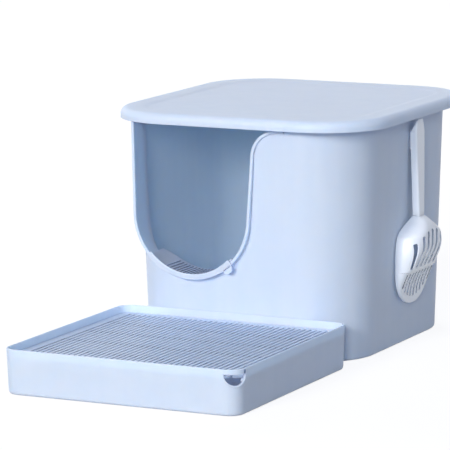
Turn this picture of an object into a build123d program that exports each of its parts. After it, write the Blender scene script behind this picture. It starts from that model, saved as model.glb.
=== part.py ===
from build123d import *

import os
from math import atan2, cos, degrees, radians, sin, tan

# A cat litter box in plain plastic: a deep tub with a U-shaped entry at its front left corner, a
# flat lift-off lid, a clip-on ribbed sill in the entry, a scoop hung on the right wall, and a low
# step tray with a lift-out grate, standing against the front.
# Millimetres. +Z is up and the front faces -Y. The origin is the centre of the tub's underside,
# which stands on the floor.

# ---- Shared ----------------------------------------------------------------------------------
CLEAR = 0.3                 # running gap between pieces that come apart
PAD_THICK = 1.2             # rubber pads, let in flush under the tub and the tray

# ---- Tub -------------------------------------------------------------------------------------
TUB_WIDTH = 434.0           # outside, at the rim
TUB_DEPTH = 468.0
TUB_HEIGHT = 405.0
TUB_LEAN = 12.0             # each wall leans in by this much from the rim to the base
TUB_CORNER = 107.0          # plan corner radius at the rim
TUB_BASE_CORNER = 103.0
TUB_WALL = 3.0
TUB_FLOOR = 3.0
TUB_BASE_ROUND = 5.0
TUB_INNER_ROUND = 14.0
TUB_FLANGE = 4.0            # rim flange, outwards
TUB_FLANGE_DEEP = 3.0
TUB_PAD_RADIUS = 12.0
TUB_PAD_INSET = 62.0        # pad centre from the base's edges

# ---- Lid -------------------------------------------------------------------------------------
LID_OVERHANG = 25.0         # beyond the tub's rim, all round
LID_CORNER = 116.0
LID_DROP = 15.0             # the skirt hangs this far below the tub's rim
LID_WALL = 3.0
LID_EDGE_ROUND = 12.0
LID_CREST = 36.0            # width of the raised border round the dished panel
LID_DISH_RUN = 16.0         # horizontal run of the slope down to the panel
LID_DISH = 1.5
# The slope's run and fall from its foot up, as shares.
LID_DISH_STEPS = ((1.0, 1.0), (0.75, 0.88), (0.5, 0.5), (0.25, 0.12), (0.0, 0.0))
LID_RIB_HEIGHT = 7.0        # locating rib inside the tub's mouth
LID_RIB_WALL = 2.5
LID_RIB_GAP = 0.6

# ---- Entry -----------------------------------------------------------------------------------
ENTRY_INSET = 139.5         # from the tub's left side, at the rim, to the U's middle
ENTRY_SINK = 169.5          # from the tub's rim down to the centre of the U's round bottom
ENTRY_RADIUS = 103.0        # clear opening
ENTRY_LEFT_LEAN = 1.0       # degrees that each side opens outwards
ENTRY_RIGHT_LEAN = 4.2
ENTRY_FLARE = 48.0          # radius of the turn under the lid, at the right
ENTRY_FLARE_SINK = 17.5     # the flare ends this far below the tub's rim
ENTRY_END_INSET = 123.0     # the trim stops this far from the tub's right side, under the lid
ENTRY_TOP_SINK = 17.0       # top of the trim's left side, below the tub's rim
COLLAR_PROUD = 3.0          # the trim's front plane lies this far in front of the tub's rim
COLLAR_WIDTH = 5.0          # bead round the outside
COLLAR_WALL = 3.0           # sleeve through the tub's wall
COLLAR_INSIDE = 4.0         # the sleeve stands this far inside the wall
COLLAR_ROUND = 1.2
ENTRY_X = ENTRY_INSET - TUB_WIDTH / 2
ENTRY_Z = TUB_HEIGHT - ENTRY_SINK
ENTRY_FLARE_Z = TUB_HEIGHT - ENTRY_FLARE_SINK
ENTRY_END = TUB_WIDTH / 2 - ENTRY_END_INSET
ENTRY_TOP = TUB_HEIGHT - ENTRY_TOP_SINK
COLLAR_FRONT = TUB_DEPTH / 2 + COLLAR_PROUD

# ---- Sill, clipped over the bottom of the entry ----------------------------------------------
SILL_WALL = 2.5
SILL_DEPTH = 65.0
SILL_HALF_ANGLE = 48.0
SILL_CORNER = 30.0          # round back corners of the plate
SILL_RIB_COUNT = 17
SILL_RIB_STEP = 3.6         # degrees
SILL_RIB_WIDTH = 2.2
SILL_RIB_HEIGHT = 1.5
SILL_RIB_MARGIN = 8.0       # ribs stop this far from the plate's back edge
SILL_CORNER_ANGLE = 24.0    # ribs past this angle are shortened at the plate's round corners
LIP_THICK = 2.8
LIP_RISE = 5.0              # the lip stands this far above the clear opening
LIP_START = -49.0           # degrees from straight down, towards -X
LIP_END = 33.0
LIP_ROUND = 1.2
TAB_ANGLE = 39.0
TAB_RADIUS = 9.5
TAB_SLIT = 15.0
TAB_SLIT_WIDTH = 1.4
TAB_LAP = 1.0               # degrees that the tab's root laps the lip's end
TAB_ROOT = 6.0              # degrees that the root runs past the tab's middle

# ---- Scoop and its hook ----------------------------------------------------------------------
SCOOP_Y = 17.0              # centre line along the right wall
SCOOP_WALL = 1.8
MOUTH_INSET = 4.5           # rim of the bowl, in from the tub's side at its rim
HANDLE_STAND = 2.0          # back of the handle at its top, out from the tub's side at its rim
HANDLE_THICK = 12.0
HANDLE_SINK = 19.5          # top of the handle, below the tub's rim
HANDLE_LENGTH = 166.5       # from its top to the neck
HANDLE_WIDTH = 36.0         # where it is widest, below its tapered end
HANDLE_END_WIDTH = 22.0
HANDLE_END_RUN = 23.5       # the end tapers over this height
HANDLE_END_ROUND = 6.0
HANDLE_NECK_WIDTH = 23.0
HANDLE_EDGE_ROUND = 3.5
HANDLE_SWAY = 2.6           # the neck stands this much further from the wall than the top
HANDLE_LAP = 6.0            # the handle runs this far down into the bowl's shoulder
WEDGE_DEEP = 24.0           # the end is cut away on a slant towards the wall, down to this depth
WEDGE_FACE = 1.0            # and the slant starts this far below the top, at the handle's face
BAR_SINK = 25.0             # top of the crossbar that rests on the peg, below the handle's top
BAR_HEIGHT = 6.0
BAR_DEEP = 4.0
SHOULDER_HEIGHT = 31.0      # from the neck down to where the bowl is deepest
BLADE_LENGTH = 120.5        # from there to the tip
CREASE_HEIGHT = 61.5        # above the tip
BOWL_HALF = 65.3
BOWL_DEPTH = 41.4
BOWL_CORNER_SHARE = 0.75    # plan corner radius, as a share of the half width or the depth
# The bowl's level sections, upwards: height from one level to the next, half width and depth, all as
# shares, and for the shoulder how far its rim has come out to the back of the handle's neck.
SHOULDER_SECTIONS = (
    (0.0, 0.88, 1.0, 0.0), (0.29, 0.72, 0.965, 0.07), (0.58, 0.48, 0.87, 0.27), (0.84, 0.275, 0.7, 0.66),
    (1.0, 0.19, 0.51, 1.0)
)
BELLY_SECTIONS = (
    (0.0, 1.0, 0.565), (0.2, 1.0, 0.7), (0.35, 1.0, 0.8), (0.52, 0.99, 0.91), (0.74, 0.96, 0.99),
    (1.0, 0.88, 1.0)
)
# The blade's sections, upwards: degrees round its circular end, and depth as a share.
BLADE_SECTIONS = (
    (10, 0.096), (20, 0.099), (30, 0.104), (42, 0.114), (55, 0.138), (70, 0.215), (90, 0.4)
)
BLADE_TOP_SHARE = 0.48      # depth of the blade at the crease
BLADE_ROUND = 55.0          # height of the blade's circular end
UPPER_SLOT = 8.5
UPPER_SLOT_OUTER = 7.5      # the outermost slots cross the bowl's round sides and are narrower
UPPER_SLOT_PITCH = 17.4
UPPER_SLOT_COUNT = 7
UPPER_SLOT_LENGTH = 64.0    # the middle one, upwards from a margin above the crease
UPPER_SLOT_FALL = 19.0      # the outermost slots end this far lower
LOWER_SLOT = 6.5
LOWER_SLOT_OUTER = 5.0
LOWER_SLOT_PITCH = 13.0
LOWER_SLOT_COUNT = 9
LOWER_SLOT_LENGTH = 45.0    # the middle one, downwards from a margin below the crease
LOWER_SLOT_RISE = 20.0      # the outermost slots start this far higher
SLOT_MARGIN = 4.5           # the slots stop this far from the crease
SCOOP_MOUTH_X = TUB_WIDTH / 2 - MOUTH_INSET
HANDLE_BACK_X = TUB_WIDTH / 2 + HANDLE_STAND
HANDLE_TOP_Z = TUB_HEIGHT - HANDLE_SINK
NECK_Z = HANDLE_TOP_Z - HANDLE_LENGTH
BOWL_TOP_Z = NECK_Z - SHOULDER_HEIGHT
BOWL_TIP_Z = BOWL_TOP_Z - BLADE_LENGTH
CREASE_Z = BOWL_TIP_Z + CREASE_HEIGHT
HOOK_PLATE_WIDTH = 22.0
HOOK_PLATE_HEIGHT = 34.0
HOOK_PLATE_THICK = 2.4
HOOK_PEG_RADIUS = 5.0
HOOK_HEAD_RADIUS = 9.0
HOOK_HEAD_THICK = 2.5
HOOK_HEAD_GAP = 1.0         # between the peg's head and the handle's face

# ---- Step tray -------------------------------------------------------------------------------
TRAY_SHIFT = -2.5           # the tray stands this far off the tub's middle, along X
TRAY_WIDTH = 420.0          # outside, at the rim
TRAY_DEPTH = 417.0
TRAY_HEIGHT = 74.0
TRAY_LEAN = 2.0
TRAY_CORNER = 25.0
TRAY_WALL = 3.0
TRAY_FLOOR = 2.5
TRAY_BASE_ROUND = 5.0
TRAY_RIM_ROUND = 1.2
TRAY_GAP = 0.3              # between the tray's rim and the tub's front
TRAY_LEDGE_WIDTH = 6.0
TRAY_LEDGE_DEEP = 4.0
TRAY_PAD_RADIUS = 8.0
TRAY_PAD_INSET = 34.0       # pad centre from the base's edges

# ---- Grate in the tray -----------------------------------------------------------------------
GRATE_DROP = 13.0           # its top lies this far below the tray's rim
GRATE_THICK = 4.0
GRATE_GAP = 1.0
GRATE_BORDER = 12.0
GRATE_PITCH = 9.6
GRATE_SLOT = 4.4
GRATE_BEAMS = 4
GRATE_BEAM_WIDTH = 5.0
GRATE_BEAM_DEEP = 6.0
GRATE_BEAM_LAP = 1.0        # the beams run this far up into the plate
GRATE_CORNER_CUT = 24.0     # the corner by the spout is cut off square to the diagonal, this far in

# ---- Pouring spout at the tray's front right corner --------------------------------------------
SPOUT_RADIUS = 17.5
SPOUT_TOP = 66.0            # height of the hole's flat top
SPOUT_WALL = 2.4            # width of the lip round the hole
SPOUT_PROUD = 2.6           # the lip stands out this far from the tray's right side
SPOUT_SIDE_TOP = 72.5


def rounded_plan(width, depth, corner, height):
    """A rounded rectangle lying level at the given height."""
    return Pos(0, 0, height) * RectangleRounded(width, depth, corner)


def tub_half(height):
    """Half the tub's outside width at a height."""
    return TUB_WIDTH / 2 - TUB_LEAN * (1 - height / TUB_HEIGHT)


def tub_plan(height, inset):
    """The tub's outline at a height, moved inwards by inset."""
    lean = TUB_LEAN * (1 - height / TUB_HEIGHT)
    corner = TUB_BASE_CORNER + (TUB_CORNER - TUB_BASE_CORNER) * height / TUB_HEIGHT
    inward = 2 * (lean + inset)
    return rounded_plan(TUB_WIDTH - inward, TUB_DEPTH - inward, corner - inset, height)


def tub_block(low, high, inset):
    """The drafted solid between two heights, moved inwards by inset."""
    return loft([tub_plan(low, inset).face(), tub_plan(high, inset).face()])


def entry_face(grow, top, end=ENTRY_END):
    """The entry's U in the plane Y = 0, grown outwards by grow and closed at height top."""
    left = radians(ENTRY_LEFT_LEAN)
    right = radians(ENTRY_RIGHT_LEAN)
    reach = ENTRY_RADIUS + grow
    turn = ENTRY_FLARE - grow
    flare_z = ENTRY_FLARE_Z - ENTRY_FLARE
    slant = (flare_z - ENTRY_Z) * sin(right)
    flare_x = ENTRY_X + (ENTRY_RADIUS + ENTRY_FLARE + slant) / cos(right)
    middle = (radians(180) - right + radians(90)) / 2

    left_low = (ENTRY_X - reach * cos(left), 0, ENTRY_Z - reach * sin(left))
    left_top = (left_low[0] - (top - left_low[2]) * tan(left), 0, top)
    bottom = (ENTRY_X, 0, ENTRY_Z - reach)
    right_low = (ENTRY_X + reach * cos(right), 0, ENTRY_Z - reach * sin(right))
    flare_start = (flare_x - turn * cos(right), 0, flare_z + turn * sin(right))
    flare_middle = (flare_x + turn * cos(middle), 0, flare_z + turn * sin(middle))
    flare_end = (flare_x, 0, flare_z + turn)
    run_end = (end, 0, flare_z + turn)
    right_top = (end, 0, top)
    outline = [
        Line(left_top, left_low),
        ThreePointArc(left_low, bottom, right_low),
        Line(right_low, flare_start),
        ThreePointArc(flare_start, flare_middle, flare_end),
        Line(flare_end, run_end),
        Line(run_end, right_top),
        Line(right_top, left_top),
    ]
    return Face(Wire(outline))


def along_y(face, start, finish):
    """A face in the plane Y = 0 as a solid from one Y to another."""
    return Pos(0, start, 0) * extrude(face, amount=finish - start, dir=(0, 1, 0))


def entry_ring(inner, outer, start, finish):
    """A band round the entry between two offsets, from one Y to another."""
    past = 20.0
    band = along_y(entry_face(outer, ENTRY_TOP), start, finish)
    hole = along_y(entry_face(inner, ENTRY_TOP + past, ENTRY_END + past), start - past, finish + past)
    return band - hole


def entry_sector(inner, outer, first, last, start, finish):
    """Part of a ring about the U's centre; angles in degrees from straight down, +X side positive."""
    first_angle = radians(first - 90)
    middle_angle = radians((first + last) / 2 - 90)
    last_angle = radians(last - 90)

    def at(radius, angle):
        return (ENTRY_X + radius * cos(angle), 0, ENTRY_Z + radius * sin(angle))

    outline = [
        ThreePointArc(at(outer, first_angle), at(outer, middle_angle), at(outer, last_angle)),
        Line(at(outer, last_angle), at(inner, last_angle)),
        ThreePointArc(at(inner, last_angle), at(inner, middle_angle), at(inner, first_angle)),
        Line(at(inner, first_angle), at(outer, first_angle)),
    ]
    return along_y(Face(Wire(outline)), start, finish)


def pad_spots(step_x, step_y):
    """The four corners of a rectangle about the origin, by name."""
    return {
        "front_left": (-step_x / 2, -step_y / 2),
        "front_right": (step_x / 2, -step_y / 2),
        "rear_left": (-step_x / 2, step_y / 2),
        "rear_right": (step_x / 2, step_y / 2),
    }


def tub_pad_spots():
    """Where the pads under the tub are."""
    inset = TUB_LEAN + TUB_PAD_INSET
    return pad_spots(TUB_WIDTH - 2 * inset, TUB_DEPTH - 2 * inset)


def tray_pad_spots():
    """Where the pads under the tray are, about the tray's middle."""
    inset = TRAY_LEAN + TRAY_PAD_INSET
    return pad_spots(TRAY_WIDTH - 2 * inset, TRAY_DEPTH - 2 * inset)


def discs(radius, spots):
    """Flat discs of a pad's thickness that stand on the plane Z = 0, by name."""
    return {name: Pos(x, y, 0) * extrude(Circle(radius), PAD_THICK) for name, (x, y) in spots.items()}


def without_pockets(body, radius, spots):
    """A body with a pocket for each pad cut into its underside."""
    for pocket in discs(radius + CLEAR, spots).values():
        body -= pocket
    return body


def make_tub():
    """Deep drafted tub, open at the top, with the entry cut from its rim down."""
    outer = tub_block(0, TUB_HEIGHT, 0)
    outer = fillet(outer.edges().group_by(Axis.Z)[0], TUB_BASE_ROUND)
    hollow = tub_block(TUB_FLOOR, TUB_HEIGHT, TUB_WALL)
    hollow = fillet(hollow.edges().group_by(Axis.Z)[0], TUB_INNER_ROUND)
    mouth = tub_block(TUB_HEIGHT - TUB_FLANGE_DEEP, TUB_HEIGHT, TUB_WALL)
    flange = tub_block(TUB_HEIGHT - TUB_FLANGE_DEEP, TUB_HEIGHT, -TUB_FLANGE) - mouth
    cut = entry_face(COLLAR_WALL + CLEAR, TUB_HEIGHT + TUB_FLANGE, ENTRY_END + CLEAR)
    tub = outer - hollow + flange - along_y(cut, -TUB_DEPTH, -TUB_DEPTH / 4)
    return without_pockets(tub, TUB_PAD_RADIUS, tub_pad_spots())


def make_entry_trim():
    """Collar that stands out square from the rounded corner, with a sleeve through the wall."""
    bead = entry_ring(0, COLLAR_WIDTH, -COLLAR_FRONT, -TUB_DEPTH / 4) - tub_block(0, TUB_HEIGHT, 0)
    front = bead.faces().sort_by(Axis.Y)[0]
    bead = fillet(front.edges(), COLLAR_ROUND)
    sleeve = entry_ring(0, COLLAR_WALL, -COLLAR_FRONT + COLLAR_ROUND, -TUB_DEPTH / 4)
    sleeve -= tub_block(0, TUB_HEIGHT, TUB_WALL + COLLAR_INSIDE)
    return bead + sleeve


def make_sill():
    """Curved ribbed plate with a raised front lip and a thumb tab, clipped over the entry's edge."""
    seat = ENTRY_RADIUS - CLEAR
    front = -COLLAR_FRONT - CLEAR
    back = front + SILL_DEPTH
    plate = entry_sector(seat - SILL_WALL, seat, -SILL_HALF_ANGLE, SILL_HALF_ANGLE, front, back)
    span = 2 * seat * sin(radians(SILL_HALF_ANGLE))
    plan = Pos(ENTRY_X, front, ENTRY_Z - 2 * seat) * RectangleRounded(span, 2 * SILL_DEPTH, SILL_CORNER)
    plate &= extrude(plan, 2 * seat)
    lip = entry_sector(
        ENTRY_RADIUS - LIP_RISE, ENTRY_RADIUS + COLLAR_WIDTH, LIP_START, LIP_END, front - LIP_THICK, front
    )
    lip_face = lip.faces().sort_by(Axis.Y)[0]
    lip = fillet(lip_face.edges(), LIP_ROUND)
    sill = plate + lip

    rib_length = SILL_DEPTH - SILL_RIB_MARGIN
    for index in range(SILL_RIB_COUNT):
        angle = (index - (SILL_RIB_COUNT - 1) / 2) * SILL_RIB_STEP
        end_gap = SILL_CORNER * max(0.0, (abs(angle) - SILL_CORNER_ANGLE) / SILL_HALF_ANGLE)
        rib = Box(SILL_RIB_WIDTH, rib_length - end_gap, SILL_RIB_HEIGHT + SILL_WALL / 2,
                  align=(Align.CENTER, Align.MIN, Align.MIN))
        place = Pos(ENTRY_X, front, ENTRY_Z) * Rot(0, -angle, 0) * Pos(0, 0, -seat + SILL_WALL / 2)
        sill += place * rib
    return sill + make_tab(front)


def make_tab(front):
    """Half-round thumb tab at the lip's right end, with a slit along its root."""
    root = ENTRY_RADIUS + COLLAR_WIDTH
    angle = radians(TAB_ANGLE - 90)
    middle = Pos(ENTRY_X + root * cos(angle), front, ENTRY_Z + root * sin(angle))
    disc = middle * Rot(90, 0, 0) * extrude(Circle(TAB_RADIUS), LIP_THICK)
    disc += entry_sector(
        ENTRY_RADIUS - LIP_RISE, root, LIP_END - TAB_LAP, TAB_ANGLE + TAB_ROOT, front - LIP_THICK, front
    )
    slit = Box(TAB_SLIT, 3 * LIP_THICK, TAB_SLIT_WIDTH)
    return disc - middle * Rot(0, -TAB_ANGLE, 0) * slit


def make_lid():
    """Flat lid: rounded rim, skirt over the tub, shallow dished panel, locating rib below."""
    width = TUB_WIDTH + 2 * LID_OVERHANG
    depth = TUB_DEPTH + 2 * LID_OVERHANG
    low = TUB_HEIGHT - LID_DROP
    high = TUB_HEIGHT + LID_WALL

    def plan(inset, height):
        return rounded_plan(width - 2 * inset, depth - 2 * inset, LID_CORNER - inset, height).face()

    def dish_from(top):
        levels = [plan(LID_CREST + LID_DISH_RUN * run, top - LID_DISH * fall) for run, fall in LID_DISH_STEPS]
        return loft(levels, ruled=True)

    shell = extrude(plan(0, low), high - low)
    shell = fillet(shell.edges().group_by(Axis.Z)[-1], LID_EDGE_ROUND)
    hollow = extrude(plan(LID_WALL, low), TUB_HEIGHT - low)
    hollow = fillet(hollow.edges().group_by(Axis.Z)[-1], LID_EDGE_ROUND - LID_WALL)
    rib_inset = TUB_WALL + LID_RIB_GAP
    rib = tub_block(TUB_HEIGHT - LID_RIB_HEIGHT, TUB_HEIGHT, rib_inset)
    rib -= tub_block(TUB_HEIGHT - LID_RIB_HEIGHT, TUB_HEIGHT, rib_inset + LID_RIB_WALL)
    return shell - dish_from(high) - (hollow - dish_from(TUB_HEIGHT) - rib)


def tray_middle():
    """Centre of the tray's plan: its rim stands one gap in front of the tub's leaning wall."""
    tub_front = TUB_DEPTH / 2 - TUB_LEAN * (1 - TRAY_HEIGHT / TUB_HEIGHT)
    return Pos(TRAY_SHIFT, -tub_front - TRAY_GAP - TRAY_DEPTH / 2, 0)


def tray_plan(height, inset):
    """The tray's outline at a height, about its own middle, moved inwards by inset."""
    inward = 2 * (TRAY_LEAN * (1 - height / TRAY_HEIGHT) + inset)
    return rounded_plan(TRAY_WIDTH - inward, TRAY_DEPTH - inward, TRAY_CORNER - inset, height)


def tray_block(low, high, inset):
    """The tray's drafted solid between two heights, moved inwards by inset."""
    return loft([tray_plan(low, inset).face(), tray_plan(high, inset).face()])


def spout_place():
    """Plane at the corner's outermost point, looking out along the diagonal."""
    reach = TRAY_CORNER * cos(radians(45))
    nose_x = TRAY_WIDTH / 2 - TRAY_CORNER + reach
    nose_y = -TRAY_DEPTH / 2 + TRAY_CORNER - reach
    return Plane(origin=(nose_x, nose_y, 0), x_dir=(1, 1, 0), z_dir=(1, -1, 0))


def spout_profile(radius, side_top):
    """Half-round bottom with straight sides up to side_top, in the spout's plane."""
    lower = Pos(0, SPOUT_TOP) * Circle(radius)
    lower &= Pos(0, SPOUT_TOP - radius) * Rectangle(2 * radius, 2 * radius)
    if side_top > SPOUT_TOP:
        sides = Rectangle(2 * radius, side_top - SPOUT_TOP, align=(Align.CENTER, Align.MIN))
        lower += Pos(0, SPOUT_TOP) * sides
    return lower


def spout_prism(radius, side_top, inwards, outwards):
    """The spout's profile as a solid from inside the corner to outside it."""
    place = spout_place().offset(-inwards)
    return extrude(place * spout_profile(radius, side_top), inwards + outwards)


def make_tray():
    """Low open tray with a ledge for the grate and a pouring spout at one corner."""
    ledge_top = TRAY_HEIGHT - GRATE_DROP - GRATE_THICK
    through = 2 * TRAY_CORNER
    outer = tray_block(0, TRAY_HEIGHT, 0)
    outer = fillet(outer.edges().group_by(Axis.Z)[0], TRAY_BASE_ROUND)
    hollow = tray_block(TRAY_FLOOR, TRAY_HEIGHT, TRAY_WALL)
    spout = spout_prism(SPOUT_RADIUS + SPOUT_WALL, SPOUT_SIDE_TOP, TRAY_CORNER, TRAY_CORNER)
    spout &= Pos(SPOUT_PROUD, 0, 0) * outer
    spout -= spout_prism(SPOUT_RADIUS, TRAY_HEIGHT + SPOUT_WALL, through, through) + outer
    body = fillet(outer.edges().group_by(Axis.Z)[-1], TRAY_RIM_ROUND) - hollow
    ledge = tray_block(ledge_top - TRAY_LEDGE_DEEP, ledge_top, TRAY_WALL - CLEAR)
    ledge -= tray_block(ledge_top - TRAY_LEDGE_DEEP, ledge_top, TRAY_WALL + TRAY_LEDGE_WIDTH)
    body = body + ledge + spout
    body -= spout_prism(SPOUT_RADIUS, SPOUT_TOP, through, TRAY_CORNER)
    return tray_middle() * without_pockets(body, TRAY_PAD_RADIUS, tray_pad_spots())


def make_grate():
    """Flat grate of straight bars with stiffening beams below, resting on the tray's ledge."""
    low = TRAY_HEIGHT - GRATE_DROP - GRATE_THICK
    inset = TRAY_WALL + GRATE_GAP
    lean = TRAY_LEAN * (1 - low / TRAY_HEIGHT)
    width = TRAY_WIDTH - 2 * (inset + lean)
    depth = TRAY_DEPTH - 2 * (inset + lean)
    field = width - 2 * GRATE_BORDER
    count = int((field - GRATE_SLOT) / GRATE_PITCH) + 1
    slot_length = depth - 2 * GRATE_BORDER

    plate = RectangleRounded(width, depth, TRAY_CORNER - inset)
    slot = SlotOverall(slot_length, GRATE_SLOT, rotation=90)
    plate -= GridLocations(GRATE_PITCH, 0, count, 1) * slot
    grate = Pos(0, 0, low) * extrude(plate, GRATE_THICK)
    beam_length = field - GRATE_BORDER
    beam_height = GRATE_BEAM_DEEP + GRATE_BEAM_LAP
    beam = Box(beam_length, GRATE_BEAM_WIDTH, beam_height, align=(Align.CENTER, Align.CENTER, Align.MAX))
    for place in GridLocations(0, slot_length / (GRATE_BEAMS + 1), 1, GRATE_BEAMS):
        grate += Pos(0, 0, low + GRATE_BEAM_LAP) * place * beam
    cut_width = 4 * GRATE_CORNER_CUT
    cut_height = 2 * (GRATE_THICK + GRATE_BEAM_DEEP)
    corner = Rot(0, 0, 45) * Box(cut_width, 2 * GRATE_CORNER_CUT, cut_height)
    return tray_middle() * (grate - Pos(width / 2, -depth / 2, low) * corner)


def bowl_section(height, half, depth, stand, inset):
    """The scoop's bowl cut level at a height: a flat-backed D whose rim stands out from the mouth's plane.

    The hollow, which is inset by the wall, starts behind the mouth so that it opens the bowl's back.
    """
    half -= inset
    depth -= inset
    back = SCOOP_MOUTH_X - inset if inset else SCOOP_MOUTH_X + stand
    corner = BOWL_CORNER_SHARE * min(half, depth - stand)
    side = SCOOP_MOUTH_X + depth - corner
    far = SCOOP_MOUTH_X + depth
    bend = corner * (1 - cos(radians(45)))
    outline = [
        Line((back, -half, 0), (side, -half, 0)),
        ThreePointArc((side, -half, 0), (far - bend, -half + bend, 0), (far, -half + corner, 0)),
        Line((far, -half + corner, 0), (far, half - corner, 0)),
        ThreePointArc((far, half - corner, 0), (far - bend, half - bend, 0), (side, half, 0)),
        Line((side, half, 0), (back, half, 0)),
        Line((back, half, 0), (back, -half, 0)),
    ]
    return Pos(0, SCOOP_Y, height) * Face(Wire(outline))


def bowl_block(inset):
    """The bowl's outer form, or its hollow when inset by the wall."""
    neck = HANDLE_BACK_X + HANDLE_SWAY - SCOOP_MOUTH_X
    crease = CREASE_Z + inset
    end = BOWL_TIP_Z + inset
    shoulder = loft([
        bowl_section(
            BOWL_TOP_Z + (NECK_Z - inset - BOWL_TOP_Z) * rise, BOWL_HALF * half, BOWL_DEPTH * depth,
            neck * stand, inset
        )
        for rise, half, depth, stand in SHOULDER_SECTIONS
    ])
    belly = loft([
        bowl_section(crease + (BOWL_TOP_Z - crease) * rise, BOWL_HALF * half, BOWL_DEPTH * depth, 0, inset)
        for rise, half, depth in BELLY_SECTIONS
    ])
    levels = [
        bowl_section(
            end + BLADE_ROUND * (1 - cos(radians(turn))), BOWL_HALF * sin(radians(turn)), BOWL_DEPTH * depth,
            0, inset
        )
        for turn, depth in BLADE_SECTIONS
    ]
    levels.append(bowl_section(crease, BOWL_HALF, BOWL_DEPTH * BLADE_TOP_SHARE, 0, inset))
    return shoulder + belly + loft(levels)


def slot_row(count, pitch, widths, lows, highs):
    """Upright slots through the bowl's face; each pair is for the middle and the outermost slots."""
    row = Sketch()
    for index in range(count):
        place = index - (count - 1) / 2
        share = (2 * place / (count - 1)) ** 2
        low = lows[0] + (lows[1] - lows[0]) * share
        high = highs[0] + (highs[1] - highs[0]) * share
        width = widths[0] if share < 1 else widths[1]
        row += Pos(pitch * place, (low + high) / 2) * SlotOverall(high - low, width, rotation=90)
    middle = Plane(origin=(0, SCOOP_Y, 0), x_dir=(0, 1, 0), z_dir=(1, 0, 0))
    return extrude(middle * row, SCOOP_MOUTH_X + 2 * BOWL_DEPTH)


def handle_face():
    """The handle's outline seen from the right: tapered end at the top, narrow neck below."""
    half_neck = HANDLE_NECK_WIDTH / 2
    half_wide = HANDLE_WIDTH / 2
    half_end = HANDLE_END_WIDTH / 2
    low = NECK_Z - HANDLE_LAP
    wide = HANDLE_TOP_Z - HANDLE_END_RUN
    outline = Polyline(
        (-half_neck, low), (half_neck, low), (half_wide, wide), (half_end, HANDLE_TOP_Z),
        (-half_end, HANDLE_TOP_Z), (-half_wide, wide), (-half_neck, low)
    )
    face = make_face(outline)
    return fillet(face.vertices().group_by(Axis.Y)[-1], HANDLE_END_ROUND)


def make_handle():
    """Channel handle, open towards the wall, with its end cut away on a slant and a crossbar."""
    face = handle_face()
    back = Plane(origin=(0, 0, 0), x_dir=(0, 1, 0), z_dir=(1, 0, 0))
    block = extrude(back * face, HANDLE_THICK)
    block = fillet(block.faces().sort_by(Axis.X)[-1].edges(), HANDLE_EDGE_ROUND)
    channel = extrude(back * offset(face, -SCOOP_WALL), HANDLE_THICK - SCOOP_WALL)
    slant = Polyline(
        (0, HANDLE_TOP_Z - WEDGE_DEEP), (HANDLE_THICK, HANDLE_TOP_Z - WEDGE_FACE),
        (HANDLE_THICK, HANDLE_TOP_Z + WEDGE_FACE), (0, HANDLE_TOP_Z + WEDGE_FACE),
        (0, HANDLE_TOP_Z - WEDGE_DEEP)
    )
    side = Plane(origin=(0, HANDLE_WIDTH, 0), x_dir=(1, 0, 0), z_dir=(0, -1, 0))
    wedge = extrude(side * make_face(slant), 2 * HANDLE_WIDTH)
    bar = Pos(0, 0, HANDLE_TOP_Z - BAR_SINK) * Box(
        BAR_DEEP, HANDLE_WIDTH, BAR_HEIGHT, align=(Align.MIN, Align.CENTER, Align.MAX)
    )
    handle = block - channel + (bar & block) - wedge
    lean = Pos(0, 0, HANDLE_TOP_Z) * Rot(0, -degrees(atan2(HANDLE_SWAY, HANDLE_LENGTH)), 0)
    return Pos(HANDLE_BACK_X, SCOOP_Y, 0) * lean * Pos(0, 0, -HANDLE_TOP_Z) * handle


def make_scoop():
    """Slotted scoop: a deep domed bowl with a crease, and a handle, open towards the wall."""
    bowl = bowl_block(0) - bowl_block(SCOOP_WALL)
    low = CREASE_Z + SLOT_MARGIN
    high = low + UPPER_SLOT_LENGTH
    widths = (UPPER_SLOT, UPPER_SLOT_OUTER)
    bowl -= slot_row(UPPER_SLOT_COUNT, UPPER_SLOT_PITCH, widths, (low, low), (high, high - UPPER_SLOT_FALL))
    high = CREASE_Z - SLOT_MARGIN
    low = high - LOWER_SLOT_LENGTH
    widths = (LOWER_SLOT, LOWER_SLOT_OUTER)
    bowl -= slot_row(LOWER_SLOT_COUNT, LOWER_SLOT_PITCH, widths, (low, low + LOWER_SLOT_RISE), (high, high))
    return bowl + make_handle()


def hook_axis_z():
    """Height of the peg: the crossbar inside the scoop's handle rests on it."""
    return HANDLE_TOP_Z - BAR_SINK - BAR_HEIGHT - CLEAR - HOOK_PEG_RADIUS


def make_hook():
    """Plate on the tub's right wall with a round headed peg that the scoop's handle hangs on."""
    axis_z = hook_axis_z()
    wall = tub_block(0, TUB_HEIGHT, 0)
    near = Pos(tub_half(axis_z), SCOOP_Y, axis_z) * Box(
        2 * HOOK_PLATE_THICK, HOOK_PLATE_WIDTH, HOOK_PLATE_HEIGHT
    )
    plate = near & (tub_block(0, TUB_HEIGHT, -HOOK_PLATE_THICK) - wall)
    peg_end = HANDLE_BACK_X + HANDLE_THICK - SCOOP_WALL - HOOK_HEAD_GAP
    axis = Plane(origin=(peg_end, SCOOP_Y, axis_z), x_dir=(0, 1, 0), z_dir=(-1, 0, 0))
    peg = extrude(axis * Circle(HOOK_PEG_RADIUS), peg_end - tub_half(axis_z) + HOOK_PLATE_THICK)
    head = extrude(axis * Circle(HOOK_HEAD_RADIUS), HOOK_HEAD_THICK)
    return plate + (peg - wall) + head


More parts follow.
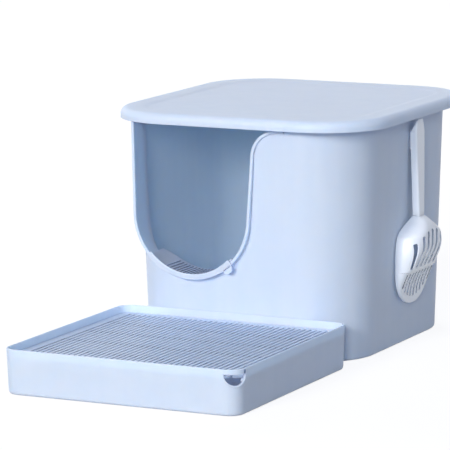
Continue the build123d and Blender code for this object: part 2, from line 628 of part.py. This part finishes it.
def main():
    """Build every piece and write it as one STEP file."""
    os.makedirs("parts", exist_ok=True)
    pieces = {
        "tub": make_tub(),
        "lid": make_lid(),
        "entry_trim": make_entry_trim(),
        "entry_sill": make_sill(),
        "scoop_hook": make_hook(),
        "scoop": make_scoop(),
        "step_tray": make_tray(),
        "tray_grate": make_grate(),
    }
    for name, disc in discs(TUB_PAD_RADIUS, tub_pad_spots()).items():
        pieces[f"tub_pad_{name}"] = disc
    for name, disc in discs(TRAY_PAD_RADIUS, tray_pad_spots()).items():
        pieces[f"tray_pad_{name}"] = tray_middle() * disc
    for name, piece in pieces.items():
        export_step(piece, f"parts/{name}.step")


main()
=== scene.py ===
"""Litter box with a side entry, a lift-off lid, a hanging scoop and a step tray."""

import logging
import math
from dataclasses import dataclass, field
from enum import Enum
from typing import Any

import bpy
from mathutils import Matrix, Vector


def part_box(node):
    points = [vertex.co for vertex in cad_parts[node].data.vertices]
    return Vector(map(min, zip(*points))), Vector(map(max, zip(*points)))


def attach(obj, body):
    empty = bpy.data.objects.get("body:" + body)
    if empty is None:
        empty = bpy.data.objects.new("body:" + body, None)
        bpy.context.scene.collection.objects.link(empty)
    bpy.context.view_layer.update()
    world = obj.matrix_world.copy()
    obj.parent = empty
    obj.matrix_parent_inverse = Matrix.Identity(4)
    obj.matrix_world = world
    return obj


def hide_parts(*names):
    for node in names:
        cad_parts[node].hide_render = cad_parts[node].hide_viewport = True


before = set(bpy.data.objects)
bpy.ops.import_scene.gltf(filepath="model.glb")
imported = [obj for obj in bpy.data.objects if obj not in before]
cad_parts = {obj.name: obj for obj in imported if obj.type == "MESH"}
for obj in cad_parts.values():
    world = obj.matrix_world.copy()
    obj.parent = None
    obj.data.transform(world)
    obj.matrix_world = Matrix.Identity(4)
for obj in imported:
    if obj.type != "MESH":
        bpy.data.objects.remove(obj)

LOG = logging.getLogger("litter_box")
MM = 0.001
DOWNWARD = -0.9     # a face whose normal's Z is below this looks down
HAIR = 1e-6         # metres

Colour = tuple[float, float, float]
Band = tuple[float, float]      # where a smooth rise starts and ends


def grey(level: float) -> tuple[float, float, float, float]:
    """Opaque grey of that level."""
    return (level, level, level, 1.0)


class Slot(Enum):
    """The material slots of the part."""

    BODY = "shell_plastic"
    SCOOP = "scoop_plastic"
    PADS = "pad_rubber"


# ---- Materials --------------------------------------------------------------------------------


class Sock:
    """An output in a material's graph, on which Python's arithmetic adds Math nodes."""

    def __init__(self, graph: "Graph", node: bpy.types.Node, result: str | int = 0) -> None:
        """Stand for one output of a node of the graph."""
        self.graph = graph
        self.node = node
        self.result = result

    @property
    def link(self) -> bpy.types.NodeSocket:
        """The output socket itself."""
        return self.node.outputs[self.result]

    def math(self, operation: str, *values: "Sock | float") -> "Sock":
        """Add one Math node.

        Args:
            operation: the Math node's operation.
            values: its inputs in order, sockets or numbers.

        Returns:
            The node's result.
        """
        return self.graph.add("ShaderNodeMath", {"operation": operation}, dict(enumerate(values)))

    def __add__(self, other: "Sock | float") -> "Sock":
        """Sum."""
        return self.math("ADD", self, other)

    def __radd__(self, other: float) -> "Sock":
        """Sum, with a number first."""
        return self.math("ADD", other, self)

    def __sub__(self, other: "Sock | float") -> "Sock":
        """Difference."""
        return self.math("SUBTRACT", self, other)

    def __rsub__(self, other: float) -> "Sock":
        """Difference, with a number first."""
        return self.math("SUBTRACT", other, self)

    def __mul__(self, other: "Sock | float") -> "Sock":
        """Product."""
        return self.math("MULTIPLY", self, other)

    def __rmul__(self, other: float) -> "Sock":
        """Product, with a number first."""
        return self.math("MULTIPLY", other, self)

    def step(self, low: float, high: float) -> "Sock":
        """Smooth rise from 0 at low to 1 at high."""
        inputs = {"Value": self, "From Min": low, "From Max": high}
        return self.graph.add("ShaderNodeMapRange", {"interpolation_type": "SMOOTHSTEP"}, inputs)


class Graph:
    """The node graph of a material or of the world."""

    def __init__(self, owner: bpy.types.Material | bpy.types.World, output: str = "ShaderNodeOutputMaterial") -> None:
        """Start an empty graph.

        Args:
            owner: the material or world that the graph belongs to.
            output: the type of its output node.
        """
        owner.use_nodes = True
        self.owner = owner
        self.output = output
        self.tree = owner.node_tree
        self.tree.nodes.clear()

    def add(
        self,
        kind: str,
        settings: dict[str, Any] | None = None,
        inputs: dict[str | int, Any] | None = None,
        result: str | int = 0,
    ) -> Sock:
        """Add a node of any kind.

        Args:
            kind: the node's type.
            settings: its properties, set before its sockets.
            inputs: numbers, colours or sockets for its inputs, by name or number.
            result: which output to return.

        Returns:
            The chosen output.
        """
        node = self.tree.nodes.new(kind)
        for key, value in (settings or {}).items():
            setattr(node, key, value)
        for key, value in (inputs or {}).items():
            if isinstance(value, Sock):
                self.tree.links.new(value.link, node.inputs[key])
            else:
                node.inputs[key].default_value = value
        return Sock(self, node, result)

    def place(self) -> Sock:
        """The point's place in the part, in metres."""
        return self.add("ShaderNodeTexCoord", result="Object")

    def noise(self, size: float, detail: float = 2.0, roughness: float = 0.5) -> Sock:
        """Noise from 0 to 1 whose features are about size metres across."""
        inputs = {"Vector": self.place(), "Scale": 1.0 / size, "Detail": detail, "Roughness": roughness}
        return self.add("ShaderNodeTexNoise", {"noise_dimensions": "3D"}, inputs)

    def mix(self, share: Sock, low: Sock | Colour, high: Sock | Colour) -> Sock:
        """Blend two colours, each a socket or red, green and blue."""
        ends = [end if isinstance(end, Sock) else (*end, 1.0) for end in (low, high)]
        return self.add("ShaderNodeMix", {"data_type": "RGBA"}, {0: share, 6: ends[0], 7: ends[1]}, 2)

    def streaks(self, width: float, length: float) -> Sock:
        """Noise drawn out into upright streaks.

        Args:
            width: how wide a streak is, in metres.
            length: how tall it is, in metres.

        Returns:
            The noise, from 0 to 1.
        """
        scale = {0: self.place(), 1: (1.0 / width, 1.0 / width, 1.0 / length)}
        drawn = self.add("ShaderNodeVectorMath", {"operation": "MULTIPLY"}, scale)
        inputs = {"Vector": drawn, "Scale": 1.0, "Detail": 2.0}
        return self.add("ShaderNodeTexNoise", {"noise_dimensions": "3D"}, inputs)

    def edges(self, radius: float, samples: int = 4) -> Sock:
        """Find sharp edges.

        Args:
            radius: an edge sharper than this, in metres, counts.
            samples: how many rays find it.

        Returns:
            0 on flat faces, rising on the edges.
        """
        rounded = self.add("ShaderNodeBevel", {"samples": samples}, {"Radius": radius})
        true = self.add("ShaderNodeNewGeometry", result="Normal")
        return 1 - self.add("ShaderNodeVectorMath", {"operation": "DOT_PRODUCT"}, {0: rounded, 1: true}, "Value")

    def painted_shade_mask(self, reach: float, samples: int = 8) -> Sock:
        """1 on open faces, falling towards 0 in the piece's own crevices narrower than reach metres: the mask of
        painted crevice shade.
        """
        settings = {"samples": samples, "only_local": True}
        return self.add("ShaderNodeAmbientOcclusion", settings, {"Distance": reach}, "AO")

    def bump(self, height: Sock, depth: float, strength: float = 1.0, under: Sock | None = None) -> Sock:
        """Turn a height into a normal.

        Args:
            height: the height, from 0 to 1.
            depth: what a height of 1 stands for, in metres.
            strength: how much of it shows.
            under: another normal that it lies on.

        Returns:
            The normal.
        """
        inputs = {"Strength": strength, "Distance": depth, "Height": height}
        if under is not None:
            inputs["Normal"] = under
        return self.add("ShaderNodeBump", None, inputs, "Normal")

    def finish(self, shader: Sock) -> bpy.types.Material | bpy.types.World:
        """Join the shader to the output and hand over the material or world."""
        self.add(self.output, None, {"Surface": shader})
        return self.owner


@dataclass(frozen=True)
class MouldedPlastic:
    """Satin polypropylene: spark grain, faint sinks and flow streaks, light scuffs, painted shade in crevices."""

    name: str
    tint: Colour
    shade: Colour
    # painted shade: the dark colour laid into the piece's own crevices, and where that darkening starts, ends and
    # reaches
    painted_crevice_shade: Colour
    painted_shade_start: float = 0.15
    painted_shade_end: float = 0.88
    painted_shade_reach: float = 13 * MM
    roughness: float = 0.42
    refraction: float = 1.49
    gloss: float = 0.3
    coat: float = 0.0
    coat_roughness: float = 0.38
    coat_refraction: float = 1.8
    glow: float = 0.7
    glow_depth: float = 9 * MM
    glow_spread: tuple[float, float, float] = (0.8, 1.0, 1.2)
    grain_size: float = 0.9 * MM
    grain_depth: float = 0.02 * MM
    grain_detail: float = 3.0
    grain_break: float = 0.6
    grain_rough: float = 0.12
    sink_size: float = 60 * MM
    sink_depth: float = 0.35 * MM
    sink_strength: float = 0.5
    flow_width: float = 26 * MM
    flow_length: float = 320 * MM
    flow_rough: float = 0.08
    scuff_width: float = 0.7 * MM
    scuff_length: float = 22 * MM
    scuff_rough: float = 0.14
    scuff_band: Band = (0.66, 0.74)
    scuff_zone: Band = (0.45, 0.62)
    mottle_flow: float = 0.6
    mottle_sink: float = 0.4
    mottle_band: Band = (0.35, 0.65)
    edge_radius: float = 1.2 * MM
    edge_polish: float = 0.12
    edge_band: Band = (0.02, 0.25)

    def build(self) -> bpy.types.Material:
        """Make the material.

        Returns:
            The material.
        """
        graph = Graph(bpy.data.materials.new(self.name))
        grain = graph.noise(self.grain_size, self.grain_detail, self.grain_break)
        sink = graph.noise(self.sink_size, detail=1.0)
        flow = graph.streaks(self.flow_width, self.flow_length)
        scratches = graph.streaks(self.scuff_width, self.scuff_length)
        scuff = scratches.step(*self.scuff_band) * sink.step(*self.scuff_zone)
        mottle = (flow * self.mottle_flow + sink * self.mottle_sink).step(*self.mottle_band)
        # painted shade: ambient occlusion darkens the base colour towards the crevice colour in recesses, slots and
        # corners
        unshaded_share = graph.painted_shade_mask(self.painted_shade_reach).step(self.painted_shade_start, self.painted_shade_end)
        edge = graph.edges(self.edge_radius).step(*self.edge_band)
        rough = self.roughness + (grain - 0.5) * self.grain_rough + (flow - 0.5) * self.flow_rough
        rough = rough + scuff * self.scuff_rough - edge * self.edge_polish
        waves = graph.bump(sink, self.sink_depth, self.sink_strength)
        inputs = {
            # the base colour carries painted crevice shade over the random mottle
            "Base Color": graph.mix(unshaded_share, self.painted_crevice_shade, graph.mix(mottle, self.shade, self.tint)),
            "Roughness": rough,
            "IOR": self.refraction,
            "Specular IOR Level": self.gloss,
            "Coat Weight": self.coat,
            "Coat Roughness": self.coat_roughness,
            "Coat IOR": self.coat_refraction,
            "Subsurface Weight": self.glow,
            "Subsurface Radius": self.glow_spread,
            "Subsurface Scale": self.glow_depth,
            "Normal": graph.bump(grain, self.grain_depth, under=waves),
        }
        return graph.finish(graph.add("ShaderNodeBsdfPrincipled", None, inputs))


@dataclass(frozen=True)
class PadRubber:
    """Matte rubber with a close pebbled skin."""

    name: str = "Pad rubber"
    tint: Colour = (0.27, 0.30, 0.35)
    shade: Colour = (0.20, 0.23, 0.28)
    roughness: float = 0.78
    pebble_size: float = 0.7 * MM
    pebble_depth: float = 0.05 * MM
    pebble_rough: float = 0.12
    pebble_band: Band = (0.35, 0.65)

    def build(self) -> bpy.types.Material:
        """Make the material.

        Returns:
            The material.
        """
        graph = Graph(bpy.data.materials.new(self.name))
        pebble = graph.noise(self.pebble_size, detail=1.0)
        inputs = {
            "Base Color": graph.mix(pebble.step(*self.pebble_band), self.shade, self.tint),
            "Roughness": self.roughness + (pebble - 0.5) * self.pebble_rough,
            "Normal": graph.bump(pebble, self.pebble_depth),
        }
        return graph.finish(graph.add("ShaderNodeBsdfPrincipled", None, inputs))


# ---- Studio -----------------------------------------------------------------------------------


def direction(azimuth: float, elevation: float) -> Vector:
    """Unit vector from the part towards that azimuth and elevation, in degrees."""
    turn, rise = math.radians(azimuth), math.radians(elevation)
    return Vector((math.sin(turn) * math.cos(rise), -math.cos(turn) * math.cos(rise), math.sin(rise)))


@dataclass(frozen=True)
class Lamp:
    """A broad distant lamp; angles are in degrees, and azimuth 0 is in front of the part."""

    name: str
    azimuth: float
    elevation: float
    strength: float
    breadth: float
    colour: Colour
    shines: bool = True

    def add(self) -> bpy.types.Object:
        """Put the lamp in the scene; one that doesn't shine leaves no highlight.

        Returns:
            The lamp.
        """
        data = bpy.data.lights.new(self.name, "SUN")
        data.energy = self.strength
        data.angle = math.radians(self.breadth)
        data.color = self.colour
        lamp = bpy.data.objects.new(self.name, data)
        bpy.context.scene.collection.objects.link(lamp)
        lamp.rotation_mode = "QUATERNION"
        lamp.rotation_quaternion = direction(self.azimuth, self.elevation).to_track_quat("Z", "Y")
        lamp.visible_glossy = self.shines
        return lamp


@dataclass
class Studio:
    """Camera, floor and plain soft light."""

    target: Vector = field(default_factory=lambda: Vector((-14.91, -234.0, 224.0)) * MM)
    distance: float = 5665.0 * MM
    far_end: float = 50.0
    azimuth: float = 26.38
    elevation: float = 9.51
    roll: float = 0.45
    lens: float = 272.8
    lamps: tuple[Lamp, ...] = (
        Lamp("Key", -8.0, 20.0, 1.8, 14.0, (0.98, 0.97, 1.0)),
        Lamp("Fill", 19.0, 15.0, 0.95, 12.0, (0.95, 0.97, 1.0)),
        Lamp("Back", 232.0, 18.0, 1.4, 30.0, (0.95, 0.97, 1.0), shines=False),
        Lamp("Top", 0.0, 90.0, 0.42, 100.0, (0.97, 0.95, 1.0)),
    )
    floor_shade: float = 0.5
    shown_shade: float = 0.22
    shown_glow: float = 0.86
    floor_half: float = 6.0
    floor_gap: float = 0.1 * MM
    sky_colour: Colour = (0.62, 0.72, 1.0)
    sky_strength: float = 0.285

    def add_camera(self) -> bpy.types.Object:
        """Place the camera and make it the scene's.

        Returns:
            The camera.
        """
        data = bpy.data.cameras.new("Camera")
        data.lens = self.lens
        data.clip_end = self.far_end
        camera = bpy.data.objects.new("Camera", data)
        bpy.context.scene.collection.objects.link(camera)
        back = direction(self.azimuth, self.elevation)
        turn, roll = math.radians(self.azimuth), math.radians(self.roll)
        level = Vector((math.cos(turn), math.sin(turn), 0.0))
        upright = back.cross(level)
        right = level * math.cos(roll) - upright * math.sin(roll)
        upward = level * math.sin(roll) + upright * math.cos(roll)
        pose = Matrix((right, upward, back)).transposed().to_4x4()
        pose.translation = self.target + back * self.distance
        camera.matrix_world = pose
        bpy.context.scene.camera = camera
        return camera

    def seen_share(self, graph: Graph) -> Sock:
        """Tell the rays that show the backdrop from those that light the part.

        Args:
            graph: the graph that asks.

        Returns:
            1 for rays that show it, and 0 for the rest.
        """
        path = graph.add("ShaderNodeLightPath").node
        camera, glossy, through = (
            Sock(graph, path, name) for name in ("Is Camera Ray", "Is Glossy Ray", "Is Transmission Ray"))
        return camera.math("MAXIMUM", camera, glossy.math("MAXIMUM", glossy, through))

    def add_floor(self) -> bpy.types.Object:
        """Lay a wide white floor that keeps a faint shadow, and that is clear from underneath.

        Returns:
            The floor.
        """
        bpy.ops.object.select_all(action="DESELECT")
        bpy.ops.mesh.primitive_plane_add(size=2 * self.floor_half, location=(0, 0, -self.floor_gap))
        floor = bpy.context.object
        floor.name = "Studio_floor"
        graph = Graph(bpy.data.materials.new("Studio white"))
        matte = graph.add("ShaderNodeBsdfDiffuse", None, {"Color": grey(self.floor_shade)})
        faint = graph.add("ShaderNodeBsdfDiffuse", None, {"Color": grey(self.shown_shade)})
        glow = graph.add("ShaderNodeEmission", None, {"Color": grey(1.0), "Strength": self.shown_glow})
        seen = graph.add("ShaderNodeAddShader", None, {0: faint, 1: glow})
        above = graph.add("ShaderNodeMixShader", None, {0: self.seen_share(graph), 1: matte, 2: seen})
        clear = graph.add("ShaderNodeBsdfTransparent")
        underneath = graph.add("ShaderNodeNewGeometry", result="Backfacing")
        shader = graph.add("ShaderNodeMixShader", None, {0: underneath, 1: above, 2: clear})
        floor.data.materials.append(graph.finish(shader))
        return floor

    def add_sky(self) -> None:
        """Add a pale blue sky that shows as white."""
        graph = Graph(bpy.data.worlds.new("Studio sky"), "ShaderNodeOutputWorld")
        colour = {"Color": (*self.sky_colour, 1.0), "Strength": self.sky_strength}
        light = graph.add("ShaderNodeBackground", None, colour)
        shown = graph.add("ShaderNodeBackground", None, {"Color": grey(1.0), "Strength": 1.0})
        both = graph.add("ShaderNodeMixShader", None, {0: self.seen_share(graph), 1: light, 2: shown})
        bpy.context.scene.world = graph.finish(both)

    def build(self) -> None:
        """Set the whole studio up."""
        bpy.context.scene.view_settings.view_transform = "Standard"
        self.add_camera()
        self.add_floor()
        self.add_sky()
        for lamp in self.lamps:
            lamp.add()


# ---- Sub-assemblies ---------------------------------------------------------------------------


@dataclass
class SubAssembly:
    """Mouldings that belong together and take one finish."""

    finishes: dict[Slot, bpy.types.Material]
    label: str = ""
    mouldings: tuple[str, ...] = ()
    slot: Slot = Slot.BODY

    def dress(self, piece: bpy.types.Object, slot: Slot) -> None:
        """Give a piece the finish of that slot."""
        piece.data.materials.clear()
        piece.data.materials.append(self.finishes[slot])

    def build(self) -> None:
        """Dress every moulding."""
        for node in self.mouldings:
            self.dress(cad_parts[node], self.slot)
            LOG.info("%s: dressed %s", self.label, node)


@dataclass
class OnPads(SubAssembly):
    """A moulding that stands on four ringed rubber pads, let in flush under its floor."""

    body: str = ""
    pad_nodes: tuple[str, ...] = ()
    pad_sides: int = 48
    rings: int = 3
    land: float = 1.1 * MM
    groove: float = 0.9 * MM
    groove_depth: float = 0.5 * MM
    edge: float = 0.12 * MM
    edge_segments: int = 2
    smooth_under: float = 40.0

    def model_pad(self, node: str) -> bpy.types.Object:
        """Model one pad with ring grooves in its underside.

        Args:
            node: the plain pad whose place and size it takes.

        Returns:
            The pad, with its place in its mesh.
        """
        low, high = (Vector(corner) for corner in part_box(node))
        middle = (low + high) / 2
        radius = (high.x - low.x) / 2
        bpy.ops.object.select_all(action="DESELECT")
        bpy.ops.mesh.primitive_cylinder_add(
            vertices=self.pad_sides, radius=radius, depth=high.z - low.z, location=middle)
        pad = bpy.context.object
        bpy.ops.object.transform_apply(location=True)
        bpy.ops.object.mode_set(mode="EDIT")
        self.select_under(pad, middle, 0.0, radius)
        for _ in range(self.rings):
            bpy.ops.mesh.inset(thickness=self.land)
            bpy.ops.mesh.inset(thickness=self.groove)
        for ring in range(self.rings):
            outer = radius - self.land - ring * (self.land + self.groove)
            self.select_under(pad, middle, outer - self.groove, outer)
            bpy.ops.mesh.extrude_region_move(TRANSFORM_OT_translate={"value": (0, 0, self.groove_depth)})
        bpy.ops.mesh.select_all(action="SELECT")
        bpy.ops.mesh.normals_make_consistent(inside=False)
        bpy.ops.object.mode_set(mode="OBJECT")
        bevel = pad.modifiers.new("Edge", "BEVEL")
        bevel.width = self.edge
        bevel.segments = self.edge_segments
        bpy.ops.object.modifier_apply(modifier=bevel.name)
        bpy.ops.object.shade_smooth_by_angle(angle=math.radians(self.smooth_under))
        return pad

    @staticmethod
    def select_under(pad: bpy.types.Object, middle: Vector, inner: float, outer: float) -> None:
        """Select, in edit mode, the downward faces whose centres lie between two radii.

        Args:
            pad: the pad being modelled.
            middle: its centre.
            inner: the smaller radius.
            outer: the larger radius.
        """
        bpy.ops.mesh.select_mode(type="FACE")
        bpy.ops.mesh.select_all(action="DESELECT")
        bpy.ops.object.mode_set(mode="OBJECT")
        for face in pad.data.polygons:
            reach = (face.center - middle).xy.length
            face.select = face.normal.z < DOWNWARD and inner - HAIR <= reach <= outer
        bpy.ops.object.mode_set(mode="EDIT")

    def copy_pad(self, first: bpy.types.Object, node: str) -> bpy.types.Object:
        """Copy the first pad, with a mesh of its own, to another pad's place.

        Args:
            first: the modelled pad.
            node: the plain pad whose place the copy takes.

        Returns:
            The copy.
        """
        pad = first.copy()
        pad.data = first.data.copy()
        shift = Vector(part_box(node)[0]) - Vector(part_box(self.pad_nodes[0])[0])
        pad.data.transform(Matrix.Translation(shift))
        bpy.context.scene.collection.objects.link(pad)
        return pad

    def build(self) -> None:
        """Dress the mouldings, model the first pad and set a copy at each other place."""
        super().build()
        first = self.model_pad(self.pad_nodes[0])
        pads = [first] + [self.copy_pad(first, node) for node in self.pad_nodes[1:]]
        for pad, node in zip(pads, self.pad_nodes):
            pad.name = f"{node}_ringed"
            self.dress(pad, Slot.PADS)
            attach(pad, self.body)
            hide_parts(node)
            LOG.info("%s: modelled %s", self.label, pad.name)


@dataclass
class Tub(OnPads):
    """The deep tub with the scoop's hook."""

    label: str = "Tub"
    mouldings: tuple[str, ...] = ("tub", "scoop_hook")
    body: str = "tub"
    pad_nodes: tuple[str, ...] = (
        "tub_pad_front_left", "tub_pad_front_right", "tub_pad_rear_left", "tub_pad_rear_right")


@dataclass
class Lid(SubAssembly):
    """The flat lift-off lid."""

    label: str = "Lid"
    mouldings: tuple[str, ...] = ("lid",)


@dataclass
class Entry(SubAssembly):
    """The collar round the entry and its ribbed sill."""

    label: str = "Entry"
    mouldings: tuple[str, ...] = ("entry_trim", "entry_sill")


@dataclass
class Scoop(SubAssembly):
    """The slotted scoop."""

    label: str = "Scoop"
    mouldings: tuple[str, ...] = ("scoop",)
    slot: Slot = Slot.SCOOP


@dataclass
class StepTray(OnPads):
    """The step tray with its lift-out grate."""

    label: str = "Step tray"
    mouldings: tuple[str, ...] = ("step_tray", "tray_grate")
    body: str = "tray"
    pad_nodes: tuple[str, ...] = (
        "tray_pad_front_left", "tray_pad_front_right", "tray_pad_rear_left", "tray_pad_rear_right")


def make_finishes() -> dict[Slot, bpy.types.Material]:
    """Make the finish of each slot.

    Returns:
        The material of each slot.
    """
    # each finish's crevice colour is painted shade laid into recesses; the scoop's is near black and strongly darkens
    # its slots
    body = MouldedPlastic(
        "Body plastic", (0.675, 0.785, 0.995), (0.65, 0.765, 0.985), painted_crevice_shade=(0.05, 0.09, 0.19))
    scoop = MouldedPlastic(
        "Scoop plastic", (0.89, 0.95, 1.0), (0.87, 0.935, 1.0), painted_crevice_shade=(0.01, 0.02, 0.06), painted_shade_start=0.5,
        painted_shade_end=0.97, roughness=0.45, gloss=0.5, coat=0.8, glow=0.15, glow_depth=3 * MM)
    return {Slot.BODY: body.build(), Slot.SCOOP: scoop.build(), Slot.PADS: PadRubber().build()}


def main() -> None:
    """Build the studio and every sub-assembly, in order."""
    logging.basicConfig(level=logging.INFO, format="%(name)s: %(message)s")
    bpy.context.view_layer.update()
    Studio().build()
    finishes = make_finishes()
    for part in (Tub(finishes), Lid(finishes), Entry(finishes), Scoop(finishes), StepTray(finishes)):
        part.build()


if __name__ == "__main__":
    main()
